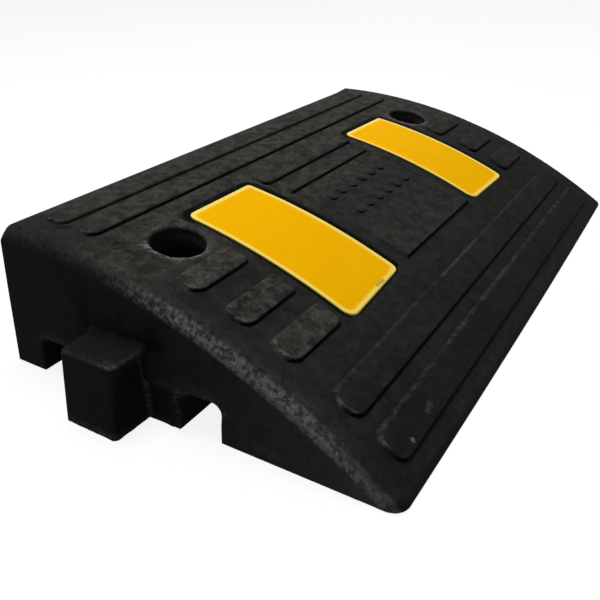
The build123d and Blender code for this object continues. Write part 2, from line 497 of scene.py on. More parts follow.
class Block:
    """The rubber block: its rounded outline as a signed distance, and the relief on its slope."""

    def __init__(self, scene):
        self.block = scene.ramp_block
        self.grip = scene.ramp_grip
        self.join = scene.ramp_join
        self.reflector = scene.ramp_reflector
        self.slope = Slope(self.block)
        self.half = block_high.x
        self.nose = block_low.x
        self.draft = math.tan(self.block.end_draft)
        self.well_x = self.half - self.block.well_inset
        self.tongue_half = (self.join.tongue_width + self.join.tongue_taper) / 2
        self.tongue_lean = self.join.tongue_lead / self.join.tongue_height
        self.land_half = self.block.channel_offset - self.block.channel_width / 2
        self.land_x = -self.half - self.join.land_proud
        self.socket_x = 2 * self.half + self.nose - self.join.clearance
        self.recess_x = self.half - self.join.land_proud - self.join.clearance
        self.panel_x = (sheet_low.x + sheet_high.x) / 2
        self.panel_half = (sheet_high.x - sheet_low.x) / 2
        self.panel_line = self.slope.from_kerb((sheet_low.y + sheet_high.y) / 2)
        self.panel_run = (sheet_high.y - sheet_low.y) / 2
        self.field_half = sheet_low.x - self.grip.field_gap

    def past_end(self, x, z):
        """Distance outside the nearer end of the block, which leans in."""
        return (np.abs(x) - self.half + z * self.draft) / math.hypot(1, self.draft)

    def on_tongue(self, x):
        """Whether a place is on the tongue or on its land."""
        return x < -self.half - END_SLACK

    def beside(self, x, y):
        """Distance outside the tongue's sides, which spread towards the block."""
        spread = self.join.tongue_taper * (x - self.nose) / (-self.half - self.nose)
        return np.abs(y) - self.join.tongue_width / 2 - spread

    def from_well(self, x, y):
        """Distance from the axis of the nearer well."""
        return np.hypot(np.abs(x) - self.well_x, y)

    def channel(self, y, z):
        """Signed distance to the section of the nearer channel."""
        block = self.block
        side = np.abs(y) - block.channel_offset
        half = block.channel_width / 2
        return rectangle(side, z, half, block.channel_height, block.channel_round)

    def tongue(self, x, y, z, grow):
        """A tongue whose nose leans back and whose sides spread, rounded at nose and top."""
        join = self.join
        nose = (self.nose - grow - x + z * self.tongue_lean) / math.hypot(1, self.tongue_lean)
        upright = both(nose, self.beside(x, y) - grow, join.tongue_round)
        return both(upright, z - join.tongue_height - grow, join.tongue_round)

    def land(self, x, y, z, grow):
        """The flat land round the tongue's root."""
        edge = self.block.mouth_round
        upright = both(self.land_x - grow - x, np.abs(y) - self.land_half - grow, edge)
        return both(upright, z - self.join.land_height - grow, edge)

    def bow(self, x):
        """How far the toe swells out, most in the middle of the block."""
        return self.block.toe_bow * (1 - np.minimum(np.abs(x) / self.half, 1) ** 2)

    def wedge(self, x, y, z):
        """The bare block: ends that lean in, kerb, toe and slope, with rounded edges."""
        block = self.block
        from_kerb = self.slope.from_kerb(y)
        to_toe = self.slope.depth - from_kerb
        swell = ease(z, block.height - 12 * MM, block.height - 3 * MM)
        corner = block.kerb_corner + (block.crest_corner - block.kerb_corner) * swell * (x < 0)
        plan = both(self.past_end(x, z), -from_kerb, corner)
        toe_corner = np.where(x < 0, *block.toe_corners)
        plan = both(plan, -to_toe - self.bow(x), toe_corner)
        edge = np.interp(x, mm(215, 240), block.edge_rounds)
        edge = edge - np.maximum(edge - block.toe_edge, 0) * (1 - ease(to_toe, 5 * MM, 14 * MM))
        return both(plan, self.slope.above(y, z), edge)

    def distance(self, points):
        """Signed distance to the block without its relief: the wedge with the tongue and the
        land added, and the channels, the socket, the wells and the bolt holes cut away."""
        block, join = self.block, self.join
        x, y, z = points.T
        root = x + self.half - ROOT_DEPTH
        body = either(self.wedge(x, y, z), np.maximum(self.land(x, y, z, 0), root), LAND_FILLET)
        body = either(body, np.maximum(self.tongue(x, y, z, 0), root), join.root_round)
        crown = ease(z, block.channel_height / 2, block.channel_height)
        mouth = block.mouth_round + (block.mouth_crown - block.mouth_round) * crown
        body = both(body, -self.channel(y, z), mouth)
        beyond = x - 2 * self.half
        for opening in (self.tongue, self.land):
            body = both(body, -opening(beyond, y, z, join.clearance), block.mouth_round)
        out = self.from_well(x, y)
        well = np.maximum(out - block.well_radius, block.well_seat - z)
        body = both(body, -well, block.well_mouth)
        body = both(body, block.bolt_radius - out, BOLT_EDGE)
        return both(body, -z, block.foot_round)

    def reach(self, front):
        """Distance from the middle of the block to a bar's tip."""
        return self.half - self.grip.margin - self.slope.height(front) * self.draft

    def bars(self):
        """Every raised bar: middle in X, half length, front edge, and the radii of its ends
        towards -X and +X."""
        grip = self.grip
        made = [(0.0, self.reach(front), front, grip.tip, grip.tip) for front in grip.rib_fronts]
        short = sheet_low.x - grip.short_gap
        made.append((0.0, short, grip.short_front, grip.corner, grip.corner))
        inner = sheet_high.x + grip.pad_gap
        for front in grip.pad_fronts:
            middle = (inner + self.reach(front)) / 2
            half = (self.reach(front) - inner) / 2
            made.append((middle, half, front, grip.corner, grip.tip))
            made.append((-middle, half, front, grip.tip, grip.corner))
        return made

    def corner(self, u, v):
        """Plan radius of a sheet's corner in the quarter where a place lies."""
        return np.array(self.reflector.corners)[2 * (v > 0) + (u > 0)]

    def laid(self, side, u, v):
        """Offsets of a sheet from its straight place, since sheets are laid by hand: those of its
        corners, shared out between them."""
        s = np.clip(u / self.panel_half, -LAID_REACH, LAID_REACH)
        t = np.clip(v / self.panel_run, -LAID_REACH, LAID_REACH)
        shares = [(1 + a * s) * (1 + b * t) / 4 for b in (-1, 1) for a in (-1, 1)]
        shares = np.stack(shares, axis=1)
        tongue_end = shares @ np.reshape(self.reflector.tongue_end_laid, (4, 2))
        socket_end = shares @ np.reshape(self.reflector.socket_end_laid, (4, 2))
        return np.where((side > 0)[:, None], socket_end, tongue_end).T

    def on_sheet(self, x, from_kerb):
        """Places from the middle of the nearer sheet, as if it were laid straight."""
        side = np.sign(x)
        u, v = x - side * self.panel_x, from_kerb - self.panel_line
        shift_u, shift_v = self.laid(side, u, v)
        shift_u, shift_v = self.laid(side, u - shift_u, v - shift_v)
        return u - shift_u, v - shift_v

    def outline(self, x, from_kerb, spare):
        """Signed distance to the plan of the nearer sheet, made larger by a spare width."""
        u, v = self.on_sheet(x, from_kerb)
        half, run = self.panel_half + spare, self.panel_run + spare
        return rectangle(u, v, half, run, self.corner(u, v) + spare)

    def toe_side(self, x, from_kerb):
        """1 along a sheet's edge on the side of the toe, and 0 elsewhere."""
        return ease(self.on_sheet(x, from_kerb)[1] - self.panel_run, -4 * MM, 0)

    def ring_width(self, x, from_kerb):
        """How wide the rings along a sheet's edge are, as a share of their width at its -X side:
        wider on the sides of the kerb and of +X."""
        u, v = self.on_sheet(x, from_kerb)
        away = ease(np.maximum(-v - self.panel_run, u - self.panel_half), -12 * MM, -6 * MM)
        return 1 + 1.4 * away * (1 - self.toe_side(x, from_kerb))

    def stud_columns(self):
        """Places of the columns of studs."""
        count = self.grip.stud_columns
        return (np.arange(count) - (count - 1) / 2) * self.grip.stud_pitch

    def stud_offsets(self, x, from_kerb):
        """Offsets from the nearest stud."""
        column, row = self.stud_columns(), np.array(self.grip.stud_rows)
        off_x = x - column[np.abs(x[:, None] - column).argmin(axis=1)]
        return off_x, from_kerb - row[np.abs(from_kerb[:, None] - row).argmin(axis=1)]

    def relief(self, x, y):
        """How far the surface lies above the bare slope, how dark the foot of a step is, how worn
        its upper edge, and how much dust lies on its top. Bars and studs rise, pockets sink, and
        the field tips from low to high. Feet are dark on the side of the toe, and upper edges are
        worn on the other side and at the tips."""
        grip = self.grip
        from_kerb = self.slope.from_kerb(y)
        height, foot, edge, dust = np.zeros((4, len(x)))
        for middle, half, front, low_end, high_end in self.bars():
            corner = np.where(x < middle, low_end, high_end)
            line = from_kerb - front + grip.width / 2
            bar = rectangle(x - middle, line, half, grip.width / 2, corner)
            height = height + grip.rise * crowned(bar, grip.wall, grip.crown)
            is_pad = half < 0.2 * self.half
            dust = dust + is_pad * np.where(x < 0, *PAD_DUST) * step_in(bar, 2 * MM)
            toeward = np.clip(2 * line / grip.width, -1, 1)
            # painted shadow along each bar's foot, mostly on the side of the toe
            dark = foot_shadow_line(bar, 1.1 * MM) * level_at(front, BAR_SHADE)
            foot = np.maximum(foot, dark * (0.12 + 0.88 * ease(toeward, 0, 0.8)))
            # painted highlight on the kerb side of the upper edge and round the tips, drawn later
            # as pale crumb
            back = ease(-toeward, 0.4, 0.9) * level_at(from_kerb, BAR_EDGE_HIGHLIGHT)
            tip = ease(np.abs(x - middle) - half, -grip.tip, -0.3 * grip.tip)
            tip = 0.48 * tip * (corner > grip.corner) * (1 - ease(toeward, 0.3, 1))
            ridge = band(bar, -3 * MM, -1.2 * MM, 0, 0.6 * MM)
            edge = np.maximum(edge, ridge * np.maximum(back, tip))
        back, front = grip.field_ends
        low, high = grip.field_tip
        middle, run = (back + front) / 2, (front - back) / 2
        across = (from_kerb - back) / (front - back)
        level = low + (high - low) * across
        line = np.abs(from_kerb - middle) - run
        side = np.abs(x) - self.field_half
        height = height + level * step_in(side, 3 * MM) * step_in(line, 0.8 * MM)
        # painted shadow along the field's edges where it steps
        step = np.exp(-((line / (0.8 * MM)) ** 2)) * (side < 0)
        foot = np.maximum(foot, step * ease(np.abs(level), 0.5 * MM, 1.5 * MM))
        field = rectangle(x, line + run, self.field_half, run, 1 * MM)
        dust = dust + (0.12 + 0.25 * ease(across, 0.55, 1)) * (field < 0)
        off_x, off_y = self.stud_offsets(x, from_kerb)
        stud = np.hypot(off_x, off_y) - grip.stud_radius
        height = height + grip.stud_rise * crowned(stud, grip.wall, grip.crown)
        # painted shadow in a ring round each stud, darker on the side of the toe
        ring = foot_shadow_line(stud, 0.8 * MM)
        foot = np.maximum(foot, ring * (0.3 + 0.7 * ease(off_y, 0, grip.stud_radius)))
        pocket = self.outline(x, from_kerb, self.reflector.clearance)
        height = height - self.reflector.pocket * step_in(pocket + 0.3 * MM, 0.6 * MM)
        # painted shadow in a ring round each pocket, narrower on the side of the toe
        spread = self.ring_width(x, from_kerb) - 0.75 * self.toe_side(x, from_kerb)
        foot = np.maximum(foot, 1 - ease(pocket / spread, 1.2 * MM, 3 * MM))
        return height, foot, edge, dust

    def lines(self):
        """Grid lines along X, along Y and in height. Fixed lines carry the walls of openings,
        and wished ones crowd at bar walls, tips, studs, wells and rounded edges."""
        block, grip, join = self.block, self.grip, self.join
        rim = mm(0.3, 0.8, 1.5, 2.3, 3.2, 4.2, 5.3, 6.5, 8, 10)
        wall = mirrored(0.22, 0.42, 0.7, 1.35)
        ring = mirrored(3, 5.6, 11, 13.7, 16.4, 17.8, 19, 19.6, 20.3, 21, 23.5, 26)
        disc = mirrored(2, 3.4, 3.9, 4.3, 4.7, 5.2)
        nose = mm(0.4, 1, 1.8, 2.8, 4, 6.5, 9)
        fillet = mm(0.5, 1.2, 2, 3, 4.2, 5.4)
        shoulder = mm(0.6, 1.5, 2.8, 4.6, 7)
        inward = mm(2.5, 5.5, 9)
        spare = self.reflector.clearance
        bores = np.array((block.well_radius, block.bolt_radius))
        bores = np.concatenate((-bores, bores))

        fixed = [self.nose, self.land_x, -self.half, self.half, self.socket_x, self.recess_x]
        fixed += [*around((-self.well_x, self.well_x), bores)]
        pockets = (sheet_low.x - spare, sheet_high.x + spare)
        tips = [self.reach(front) for front in (*grip.rib_fronts, *grip.pad_fronts)]
        sides = (sheet_low.x - grip.short_gap, sheet_high.x + grip.pad_gap, self.field_half)
        half = np.concatenate(
            (
                around((*sides, *tips), wall),
                around(pockets, wall[1:-1]),
                pockets[0] + inward,
                pockets[1] - inward,
                np.arange(min(tips) - grip.tip, max(tips), 1.5 * MM),
                self.half - rim,
                around(self.well_x, ring),
                around((self.socket_x, self.recess_x), mm(-1.2, 1.2)),
            )
        )
        studs = around(self.stud_columns(), disc)
        land = np.concatenate((self.land_x + rim[:4] / 2, self.land_x - fillet))
        wished = np.concatenate((half, -half, studs, self.nose + nose, land))
        along = grid_lines(fixed, wished, widest=6 * MM, least=0.17 * MM)

        channel = (self.land_half, self.land_half + block.channel_width)
        uprights = around((self.tongue_half, self.land_half), (0, join.clearance))
        uprights = np.concatenate((uprights, channel))
        fixed = [block_low.y, block_high.y, *uprights, *-uprights, *bores]
        fronts = np.array((*grip.rib_fronts, grip.short_front, *grip.pad_fronts))
        run = self.panel_run + spare
        pockets = (self.panel_line - run, self.panel_line + run)
        from_kerb = np.concatenate(
            (
                around((*fronts, *(fronts - grip.width), *grip.field_ends), wall),
                around(fronts - grip.width / 2, mirrored(2, 4, 6)),
                around(grip.stud_rows, disc),
                around(pockets, wall[1:-1]),
                pockets[0] + inward,
                pockets[1] - inward,
                rim,
                self.slope.depth - rim,
                self.slope.depth - mm(11.5, 13.5),
            )
        )
        vault = (channel[0] + shoulder, channel[1] - shoulder, channel[1] + shoulder[:2])
        half = np.concatenate((self.tongue_half - nose[:5], self.tongue_half + fillet, *vault))
        wished = np.concatenate((self.slope.kerb - from_kerb, ring, half, -half))
        across = grid_lines(fixed, wished, widest=2.1 * MM, least=0.17 * MM)

        tops = around((join.land_height, join.tongue_height), (0, join.clearance))
        wished = np.concatenate(
            (
                mm(0.3, 0.9),
                block.channel_height - shoulder,
                block.channel_height + mm(0.6, 1.3, 2.1),
                join.tongue_height - mm(0.5, 1.2, 2.2, 4),
                join.tongue_height + fillet,
                block.well_seat + mm(-0.6, 0.6),
            )
        )
        fixed = [0.0, block.channel_height, block.well_seat, *tops]
        lower = grid_lines(fixed, wished, widest=6 * MM, least=0.25 * MM)
        return along, across, lower, np.append(rim[::-1], 0)

    def cells(self, along, across, lower, upper):
        """Which cells of the grid are rubber: the block, the tongue and the land, without the
        channels, the socket and its recess, the wells and the bolt holes."""
        block, join = self.block, self.join
        x = ((along[1:] + along[:-1]) / 2)[:, None, None]
        y = np.abs((across[1:] + across[:-1]) / 2)[None, :, None]
        level = np.append((lower[1:] + lower[:-1]) / 2, np.full(len(upper), 1.0))[None, None, :]

        def tongue(grow):
            """Cells in line with the tongue, or with its socket."""
            return (y < self.tongue_half + grow) & (level < join.tongue_height + grow)

        def land(grow):
            """Cells in line with the land, or with its recess."""
            return (y < self.land_half + grow) & (level < join.land_height + grow)

        outside = (x < 0) & (tongue(0) | (land(0) & (x > self.land_x)))
        channel = np.abs(y - block.channel_offset) < block.channel_width / 2
        channel = channel & (level < block.channel_height)
        socket = tongue(join.clearance) & (x > self.socket_x)
        recess = land(join.clearance) & (x > self.recess_x)
        ring = np.maximum(np.abs(np.abs(x) - self.well_x), y)
        well = ring < np.where(level > block.well_seat, block.well_radius, block.bolt_radius)
        return ((np.abs(x) < self.half) | outside) & ~(channel | socket | recess | well)

    def bent_plan(self, x, y, top):
        """Plan places of grid corners with the squares round each well bent into circles, and, on
        the top, the corners of bars and pockets and the squares round studs as well."""
        grip = self.grip
        ring = 21 * MM
        well = np.abs(x) - self.well_x, y, ring, ring, ring
        shift_x, shift_y = rounded(*well, spare=0, fade=5 * MM)
        x, y = x + np.sign(x) * shift_x, y + shift_y
        for middle, half, front, low_end, high_end in self.bars():
            corner = np.where(x < middle, low_end, high_end)
            line = self.slope.from_kerb(y) - front + grip.width / 2
            bar = x - middle, line, half, grip.width / 2, corner
            shift_x, shift_y = rounded(*bar, spare=1 * MM, fade=3 * MM)
            x, y = x + shift_x * top, y - shift_y * top
        spare = self.reflector.clearance
        side = np.sign(x)
        u, v = x - side * self.panel_x, self.slope.from_kerb(y) - self.panel_line
        pocket = self.panel_half + spare, self.panel_run + spare, self.corner(u, v) + spare
        shift_x, shift_y = rounded(u, v, *pocket, spare=1 * MM, fade=3 * MM)
        outside = rectangle(u, v, self.panel_half, self.panel_run, 0)
        fade = np.clip((10.5 * MM - outside) / (8 * MM), 0, 1)
        laid_x, laid_y = self.laid(side, u, v) * fade
        x, y = x + (shift_x + laid_x) * top, y - (shift_y + laid_y) * top
        ring = grip.stud_radius + 0.6 * MM
        stud = self.stud_offsets(x, self.slope.from_kerb(y))
        shift_x, shift_y = rounded(*stud, ring, ring, ring, spare=0, fade=2.5 * MM)
        return x + shift_x * top, y - shift_y * top

    def placed(self, along, across, lower, upper, grid):
        """Where the grid's corners lie before they settle: bent in plan, with heights squeezed
        under the low end of the slope, the channels' upper corners bent round, and ends leaning
        in."""
        block = self.block
        i, j, k = grid.T
        low = len(lower)
        x, y = self.bent_plan(along[i], across[j], k == low + len(upper) - 1)
        to_toe = self.slope.depth - self.slope.from_kerb(y)
        y = y - self.bow(x) * (1 - np.clip(to_toe / (9 * MM), 0, 1))
        top = self.slope.height(self.slope.from_kerb(y))
        squeeze_lower, squeeze_upper = (np.minimum(1, top / full) for full in mm(60, 62.5))
        lifted = lower[np.minimum(k, low - 1)] * squeeze_lower
        hung = top - upper[np.maximum(k - low, 0)] * squeeze_upper
        z = np.where(k < low, lifted, hung)
        outside = x < -self.half - 0.1 * MM
        corner = block.channel_round
        side = np.abs(y) - block.channel_offset
        vault = side, z, block.channel_width / 2, block.channel_height, corner
        shift_y, shift_z = rounded(*vault, spare=0, fade=corner)
        bent = (side > 0) | (~outside & (x < self.recess_x))
        y, z = y + np.sign(y) * shift_y * bent, z + shift_z * bent
        lean = np.clip((np.abs(x) - LEAN_FROM) / (self.half - LEAN_FROM), 0, 1) * ~outside
        return np.stack((x - np.sign(x) * lean * z * self.draft, y, z), axis=1)

    def skin(self):
        """Points, faces and marks of the block's skin. Grid corners settle on the rounded outline,
        then the slope's relief lifts them straight out of the slope, and torn crumb moves the
        worn edges along their own direction."""
        lines = self.lines()
        filled = self.cells(*lines)
        used, quads = np.unique(shell_of(filled), return_inverse=True)
        quads = quads.reshape(-1, 4)
        grid = np.stack(np.unravel_index(used, np.array(filled.shape) + 1), axis=1)
        points, outward = settle(self.distance, self.placed(*lines, grid))
        x, y, z = points.T
        on_slope = ease(self.slope.above(y, z), -0.25 * MM, -0.02 * MM)
        height, foot, edge, dust = self.relief(x, y)
        wear = self.wear(x, y, z)
        # foot is painted shadow at the feet of steps and edge a painted highlight on the bars'
        # upper edges; the mark after them is painted shade round the tongue
        marks = {
            "wear": wear,
            "edge": edge * on_slope,
            "foot": foot * on_slope,
            "shade_and_darkening": self.shade_and_darkening(x, y, z, outward),
            "dust": self.dust(x, y, outward) + dust * on_slope,
            "scrape": self.scrape(x, y, outward),
            "smooth": ease(np.abs(outward[:, 0]), 0.6, 0.9),
        }
        bore = self.from_well(x, y) < self.block.well_radius + 0.1 * MM
        out_y, out_z = self.slope.outward(y, z)
        rise = on_slope * height
        points = points + np.stack((np.zeros(len(x)), rise * out_y, rise * out_z), axis=1)
        torn = np.flatnonzero(wear > 0.02)
        grain = ripple(points[torn], mm(3.4, 9), count=120, seed=5)
        points[torn] += outward[torn] * (CRUMB_HEIGHT * wear[torn] * grain)[:, None]
        points[:, 2] = np.maximum(points[:, 2], 0)
        spans = np.ptp(grid[quads], axis=1) > 0
        axis = np.where(spans[:, 2] & bore[quads].all(axis=1), 2, np.where(spans[:, 0], 0, 1))
        faces = join_runs(points, np.stack([*marks.values()], axis=1), quads, grid, axis)
        return points, faces, marks

    def dust(self, x, y, outward):
        """How dusty the rubber is: most on the crest, least on the foot ribs and the tongue, and
        splashed up the ends towards the toe."""
        from_kerb = self.slope.from_kerb(y)
        tongue = self.on_tongue(x)
        clean = level_at(from_kerb, CLEAN_CORNER) * ease(-x, 190 * MM, 225 * MM)
        level = level_at(from_kerb, SLOPE_DUST) * (1 - 0.8 * clean) * ~tongue
        lightening = level_at(from_kerb, END_LIGHTENING) * np.where(tongue, 0.5, 1)
        toe = 0.1 * ease(from_kerb, 245 * MM, 275 * MM)
        ends = lightening * ease(np.abs(outward[:, 0]), 0.6 - toe, 0.9 - toe)
        return np.maximum(level * ease(outward[:, 2], 0.3, 0.85), ends)

    def shade_and_darkening(self, x, y, z, outward):
        """Dirt in the corners round the tongue, which lies on its sides, on the land beside it, on
        its top and on the end round it, and a darker far half and foot of the slope."""
        height = self.join.tongue_height
        out_x, out_y, out_z = outward.T
        sides = 0.45 * ease(np.abs(out_y), 0.5, 0.8) * (z < height - 5 * MM)
        land = 0.5 * ease(self.beside(x, y), 0, 4 * MM) * (out_x < -0.7)
        top = (0.42 + 0.15 * ease(x + self.half, -16 * MM, 0)) * ease(out_z, 0.6, 0.9)
        end = np.where(y < 0, 0.14, 0.32)
        end = end + (0.82 - end) * ease(z, height - 6 * MM, height)
        from_tongue = rectangle(y, z, self.tongue_half, height, 0)
        end = end * (1 - ease(from_tongue, 4 * MM, 24 * MM)) * ease(-out_x, 0.2, 0.6) * (x < 0)
        from_kerb = self.slope.from_kerb(y)
        far = 0.2 * ease(x, 0, 160 * MM) * ease(from_kerb, 150 * MM, 230 * MM)
        far = np.maximum(far, 0.1 * ease(from_kerb, 267 * MM, 273 * MM)) * (out_z > 0.5)
        return np.where(self.on_tongue(x), most(sides, land, top), np.maximum(far, end))

    def scrape(self, x, y, outward):
        """How scraped the ends are in the band below their top edge that the material draws."""
        level = level_at(self.slope.from_kerb(y), END_SCRAPE) * np.where(x < 0, 1, SOCKET_END_SHARE)
        return level * ease(np.abs(outward[:, 0]), 0.35, 0.7) * ~self.on_tongue(x)

    def wear(self, x, y, z):
        """How worn the rubber is, from 0 to 1: most in the rounding of the tongue end's top edge
        between the pads and the foot ribs, less on the other end, over the channels' mouths, on
        the wells' lips, and on the edges of the tongue and the land."""
        block, join = self.block, self.join
        end = self.past_end(x, z) / MM
        above = self.slope.above(y, z) / MM
        from_kerb = self.slope.from_kerb(y)
        rim = 0.12 * ease(end, -12, -6) + 0.88 * ease(end, -5, -1.8)
        rim = rim * ease(above, -8.8, -6.2) * level_at(from_kerb, RIM_WEAR)
        rim = rim * np.where(x < 0, 1, SOCKET_END_SHARE)
        scraped = level_at(from_kerb, RIM_SCRAPE) * ease(end, -2, -0.5) * (np.abs(x) < self.half)
        over = ease(z, 0.6 * block.channel_height, block.channel_height) * ease(end, -5, -1.5)
        mouth = 0.4 * over * band(self.channel(y, z) / MM, 0.5, 2.5, 2, 7)
        out = (self.from_well(x, y) - block.well_radius) / MM
        # painted highlight on the side of each well's lip that faces the camera, over a little wear
        # all round
        camera_side = -0.84 * (x - np.sign(x) * self.well_x) - 0.54 * y
        lip = 0.15 + 0.85 * ease(camera_side, 0, 0.6 * block.well_radius)
        lip = lip * band(out, -0.3, 0.3, 2, 5.5) * ease(above, -2.2, -1.4)
        beside = self.beside(x, y)
        flank = np.maximum(beside, self.nose - x + z * self.tongue_lean) / MM
        from_corner = np.hypot(x - self.nose, y + self.tongue_half) / MM
        brow = ease(flank, -3.2, -1.5) * ease((z - join.tongue_height) / MM, -3.2, -1.5)
        brow = brow * (0.16 + 0.7 * (1 - ease(from_corner, 5, 18)))
        seam = 1 - ease(np.abs(x + self.half + 3.5 * MM) / MM, 0.6, 1.8)
        seam = seam * band(beside / MM, -0.6, -0.1, 3, 5) * (z < join.tongue_height - 1 * MM)
        shoulder = ease((np.abs(y) - self.land_half) / MM, -2.5, -0.7)
        shoulder = shoulder * (z < join.land_height + 1 * MM)
        foot = 0.5 * (1 - ease(z / MM, 2, 7))
        tongue = most(brow, 0.85 * shoulder, foot, 0.4 * seam) * self.on_tongue(x)
        return most(rim, scraped, mouth, lip, tongue)


def sheet_skin(block, side, bottom, top, edge_round):
    """Points, faces and marks of one reflective sheet or its bed: a thin layer that follows the
    slope between two levels, with a rounded outline and a rounded upper edge. The mark is the
    distance from its edge, as a share of the width of the ring there."""
    slope = block.slope
    halves = block.panel_half, block.panel_run
    edge = mm(0.15, 0.35, 0.6, 1, 1.6, 2.4, 3.4, 4.8, 6.4, 8)
    across, along = (
        grid_lines((-half, half), (*(edge - half), *(half - edge)), widest=4 * MM, least=0.1 * MM)
        for half in halves
    )
    deep = np.array((0, 0.2, 0.7, 1, 1.2, 1.36, 1.5)) / 1.5
    filled = np.ones((len(across) - 1, len(along) - 1, len(deep) - 1), bool)
    used, quads = np.unique(shell_of(filled), return_inverse=True)
    i, j, k = np.unravel_index(used, np.array(filled.shape) + 1)
    u, v = across[i], along[j]
    outline = *halves, block.corner(u, v)
    shift_u, shift_v = rounded(u, v, *outline, spare=1 * MM, fade=3 * MM)
    u, v = u + shift_u, v + shift_v
    shift_u, shift_v = block.laid(np.full(len(u), side), u, v)
    from_kerb = block.panel_line + v + shift_v
    z = slope.height(from_kerb, bottom + (top - bottom) * deep[k])
    start = np.stack((side * block.panel_x + u + shift_u, slope.kerb - from_kerb, z), axis=1)

    def distance(points):
        """Signed distance to the sheet: its outline, its top with a rounded edge, its back."""
        x, y, z = points.T
        plan = block.outline(x, slope.from_kerb(y), 0)
        above = slope.above(y, z)
        return both(both(plan, above - top, edge_round), bottom - above, BACK_EDGE)

    points, outward = settle(distance, start, furthest=0.5 * MM)
    plan = points[:, 0], slope.from_kerb(points[:, 1])
    inset = -block.outline(*plan, 0)
    uneven = ripple(points, mm(18, 60), count=30, seed=11 + side)
    uneven = uneven * ease(outward[:, 2], 0.5, 0.8) * ease(inset, 0, 6 * MM)
    points = points + outward * (SHEET_WAVES * uneven)[:, None]
    faces = quads.ravel(), np.full(quads.size // 4, 4)
    return points, faces, {"inset": inset / (0.75 + 0.25 * block.ring_width(*plan))}


class Wire:
    """One output of a shader node. Arithmetic on it adds Math nodes to its material."""

    def __init__(self, paint, socket):
        self.paint = paint
        self.socket = socket

    def maths(self, operation, first, second):
        """A Math node on two values."""
        return self.paint.node("ShaderNodeMath", {"operation": operation}, {0: first, 1: second})

    def __add__(self, other):
        return self.maths("ADD", self, other)

    def __sub__(self, other):
        return self.maths("SUBTRACT", self, other)

    def __rsub__(self, other):
        return self.maths("SUBTRACT", other, self)

    def __mul__(self, other):
        return self.maths("MULTIPLY", self, other)

    __radd__, __rmul__ = __add__, __mul__


class Paint:
    """A material or a backdrop in the making."""

    def __init__(self, owner):
        owner.use_nodes = True
        self.owner = owner
        self.tree = owner.node_tree
        self.tree.nodes.clear()

    def node(self, kind, settings=None, inputs=None, output=0):
        """Adds a node: its settings first, then the values or links of its inputs. Gives the wire
        of one of its outputs."""
        made = self.tree.nodes.new(kind)
        for key, value in (settings or {}).items():
            setattr(made, key, value)
        for key, value in (inputs or {}).items():
            if isinstance(value, Wire):
                self.tree.links.new(value.socket, made.inputs[key])
            else:
                made.inputs[key].default_value = value
        return Wire(self, made.outputs[output]) if made.outputs else None

    def place(self):
        """Object coordinates."""
        return self.node("ShaderNodeTexCoord", output="Object")

    def noise(self, scale, detail, roughness):
        """Noise from 0 to 1, with a scale in waves to the metre."""
        inputs = {"Vector": self.place(), "Scale": scale, "Detail": detail, "Roughness": roughness}
        return self.node("ShaderNodeTexNoise", {"noise_dimensions": "3D"}, inputs, "Fac")

    def seen(self):
        """1 to the camera, to reflections and through clear things, and 0 to all other light."""
        camera, glossy, through = (
            self.node("ShaderNodeLightPath", output=f"Is {kind} Ray")
            for kind in ("Camera", "Glossy", "Transmission")
        )
        return camera.maths("MAXIMUM", camera.maths("MAXIMUM", camera, glossy), through)

    def mark(self, name):
        """A value that the mesh carries on its points."""
        return self.node("ShaderNodeAttribute", {"attribute_name": name}, output="Fac")

    def between(self, value, low, high):
        """0 below low and 1 above high, eased."""
        settings = {"interpolation_type": "SMOOTHSTEP"}
        return self.node("ShaderNodeMapRange", settings, {0: value, 1: low, 2: high})

    def mix(self, factor, first, second):
        """A colour between two colours."""
        paints = [c if isinstance(c, Wire) else (*c, 1.0) for c in (first, second)]
        settings = {"data_type": "RGBA"}
        return self.node("ShaderNodeMix", settings, {0: factor, 6: paints[0], 7: paints[1]}, 2)

    def vector(self, operation, first, second, output="Vector"):
        """A Vector Math node on two vectors."""
        inputs = {0: first, 1: second}
        return self.node("ShaderNodeVectorMath", {"operation": operation}, inputs, output)

    def stroke(self, first, second):
        """Distance in metres from a straight line between two places, given in millimetres."""
        first, second = mm(*first), mm(*second)
        course = second - first
        reach = self.vector("SUBTRACT", self.place(), tuple(first))
        part = self.vector("DOT_PRODUCT", reach, tuple(course / (course @ course)), "Value")
        inputs = {0: tuple(course), 3: self.node("ShaderNodeClamp", None, {0: part})}
        nearest = self.node("ShaderNodeVectorMath", {"operation": "SCALE"}, inputs)
        return self.vector("DISTANCE", reach, nearest, "Value")

    def bump(self, height, distance, strength, normal=None):
        """A bump from a height."""
        inputs = {"Height": height, "Distance": distance, "Strength": strength}
        if normal:
            inputs["Normal"] = normal
        return self.node("ShaderNodeBump", None, inputs)

    def finish(self, inputs):
        """The surface shader and the output."""
        shader = self.node("ShaderNodeBsdfPrincipled", None, inputs)
        self.node("ShaderNodeOutputMaterial", None, {"Surface": shader})
        return self.owner


def new_paint(slot):
    """An empty material with the name of its slot."""
    return Paint(bpy.data.materials.new(slot))


def dimmed(colour, share):
    """A colour with its brightness multiplied."""
    return [channel * share for channel in colour]


